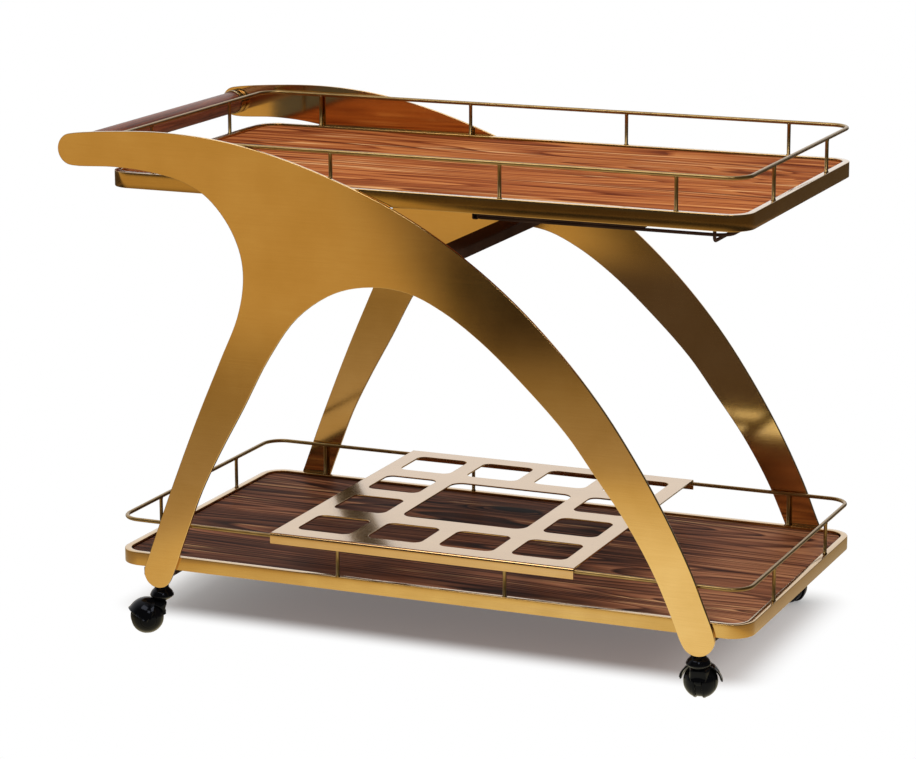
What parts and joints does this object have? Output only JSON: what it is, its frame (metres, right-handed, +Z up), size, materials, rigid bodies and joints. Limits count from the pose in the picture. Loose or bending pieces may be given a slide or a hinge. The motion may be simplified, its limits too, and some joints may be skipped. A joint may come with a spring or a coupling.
{
  "type": "bar cart",
  "caption": "Bar cart with arched side plates that run out into a push handle, two railed wood trays, a sliding bottle rack, a stemware hanger and swivel casters.",
  "frame": {"origin": "on the floor under the middle of the cart's overall box", "axes": "+Z up, +X along the cart away from the handle, +Y across it, with the left side plate at +Y"},
  "size_m": [1.078, 0.5828, 0.767],
  "materials": {
    "plate_brass": "brushed steel with a satin brass-coloured coat",
    "rim_brass": "brushed steel with a satin brass-coloured coat",
    "rod_brass": "polished rod with an aged brass colour",
    "rack_brass": "polished sheet with a pale brass colour",
    "ferrule_brass": "polished ring with a brass colour",
    "top_wood": "orange-brown veneer with a satin lacquer",
    "lower_wood": "dark walnut veneer with a satin lacquer",
    "handle_wood": "turned hardwood, oiled",
    "dark_steel": "dark bronze enamel",
    "zinc_steel": "bright zinc plate",
    "hood_plastic": "black, glossy",
    "wheel_plastic": "black, glossy"
  },
  "bodies": {
    "frame": {"side_plate_right": "plate_brass", "side_plate_left": "plate_brass", "handle_dowel": "handle_wood", "handle_ferrule_right": "ferrule_brass", "handle_ferrule_left": "ferrule_brass", "handle_stud_right": "zinc_steel", "handle_stud_left": "zinc_steel", "top_tray_rim": "rim_brass", "top_tray_panel": "top_wood", "top_gallery": "rod_brass", "top_rim_screw_rear_right": "zinc_steel", "top_rim_screw_rear_left": "zinc_steel", "top_rim_screw_front_right": "zinc_steel", "top_rim_screw_front_left": "zinc_steel", "lower_tray_rim": "rim_brass", "lower_tray_panel": "lower_wood", "lower_gallery": "rod_brass", "lower_rim_screw_rear_right": "zinc_steel", "lower_rim_screw_rear_left": "zinc_steel", "lower_rim_screw_front_right": "zinc_steel", "lower_rim_screw_front_left": "zinc_steel", "upper_crossbar": "dark_steel", "caster_beam_rear": "dark_steel", "caster_beam_front": "dark_steel", "glass_wire_1": "dark_steel", "glass_wire_2": "dark_steel", "glass_wire_3": "dark_steel", "glass_wire_4": "dark_steel", "glass_wire_5": "dark_steel", "glass_hook_right": "dark_steel", "glass_hook_left": "dark_steel", "glass_rail_right": "dark_steel", "glass_rail_left": "dark_steel", "glass_end_bar": "dark_steel", "caster_rear_right_cup": "hood_plastic", "caster_rear_right_pin": "zinc_steel", "caster_rear_left_cup": "hood_plastic", "caster_rear_left_pin": "zinc_steel", "caster_front_right_cup": "hood_plastic", "caster_front_right_pin": "zinc_steel", "caster_front_left_cup": "hood_plastic", "caster_front_left_pin": "zinc_steel"},
    "rack": {"bottle_rack": "rack_brass"},
    "swivel_rear_right": {"caster_rear_right_hood": "hood_plastic", "caster_rear_right_axle": "zinc_steel"},
    "wheel_rear_right_a": {"caster_rear_right_wheel_left": "wheel_plastic"},
    "wheel_rear_right_b": {"caster_rear_right_wheel_right": "wheel_plastic"},
    "swivel_rear_left": {"caster_rear_left_hood": "hood_plastic", "caster_rear_left_axle": "zinc_steel"},
    "wheel_rear_left_a": {"caster_rear_left_wheel_left": "wheel_plastic"},
    "wheel_rear_left_b": {"caster_rear_left_wheel_right": "wheel_plastic"},
    "swivel_front_right": {"caster_front_right_hood": "hood_plastic", "caster_front_right_axle": "zinc_steel"},
    "wheel_front_right_a": {"caster_front_right_wheel_left": "wheel_plastic"},
    "wheel_front_right_b": {"caster_front_right_wheel_right": "wheel_plastic"},
    "swivel_front_left": {"caster_front_left_hood": "hood_plastic", "caster_front_left_axle": "zinc_steel"},
    "wheel_front_left_a": {"caster_front_left_wheel_left": "wheel_plastic"},
    "wheel_front_left_b": {"caster_front_left_wheel_right": "wheel_plastic"}
  },
  "joints": [
    {"name": "rack_slide", "type": "slide", "parent": "frame", "child": "rack", "axis": [1, 0, 0], "range_m": [-0.12, 0.11]},
    {"name": "swivel_rear_right_turn", "type": "hinge", "parent": "frame", "child": "swivel_rear_right", "pos_m": [-0.39313, -0.249, 0.04], "axis": [0, 0, 1], "continuous": true},
    {"name": "wheel_rear_right_a_spin", "type": "hinge", "parent": "swivel_rear_right", "child": "wheel_rear_right_a", "pos_m": [-0.41249, -0.26231, 0.02419], "axis": [-0.5664, 0.8241, 0], "continuous": true},
    {"name": "wheel_rear_right_b_spin", "type": "hinge", "parent": "swivel_rear_right", "child": "wheel_rear_right_b", "pos_m": [-0.41249, -0.26231, 0.02419], "axis": [-0.5664, 0.8241, 0], "continuous": true},
    {"name": "swivel_rear_left_turn", "type": "hinge", "parent": "frame", "child": "swivel_rear_left", "pos_m": [-0.39313, 0.249, 0.04], "axis": [0, 0, 1], "continuous": true},
    {"name": "wheel_rear_left_a_spin", "type": "hinge", "parent": "swivel_rear_left", "child": "wheel_rear_left_a", "pos_m": [-0.41249, 0.26231, 0.02419], "axis": [0.5664, 0.8241, 0], "continuous": true},
    {"name": "wheel_rear_left_b_spin", "type": "hinge", "parent": "swivel_rear_left", "child": "wheel_rear_left_b", "pos_m": [-0.41249, 0.26231, 0.02419], "axis": [0.5664, 0.8241, 0], "continuous": true},
    {"name": "swivel_front_right_turn", "type": "hinge", "parent": "frame", "child": "swivel_front_right", "pos_m": [0.46287, -0.249, 0.04], "axis": [0, 0, 1], "continuous": true},
    {"name": "wheel_front_right_a_spin", "type": "hinge", "parent": "swivel_front_right", "child": "wheel_front_right_a", "pos_m": [0.45899, -0.22582, 0.02419], "axis": [0.9863, 0.165, 0], "continuous": true},
    {"name": "wheel_front_right_b_spin", "type": "hinge", "parent": "swivel_front_right", "child": "wheel_front_right_b", "pos_m": [0.45899, -0.22582, 0.02419], "axis": [0.9863, 0.165, 0], "continuous": true},
    {"name": "swivel_front_left_turn", "type": "hinge", "parent": "frame", "child": "swivel_front_left", "pos_m": [0.46287, 0.249, 0.04], "axis": [0, 0, 1], "continuous": true},
    {"name": "wheel_front_left_a_spin", "type": "hinge", "parent": "swivel_front_left", "child": "wheel_front_left_a", "pos_m": [0.44252, 0.26075, 0.02419], "axis": [0.5, 0.866, 0], "continuous": true},
    {"name": "wheel_front_left_b_spin", "type": "hinge", "parent": "swivel_front_left", "child": "wheel_front_left_b", "pos_m": [0.44252, 0.26075, 0.02419], "axis": [0.5, 0.866, 0], "continuous": true}
  ]
}
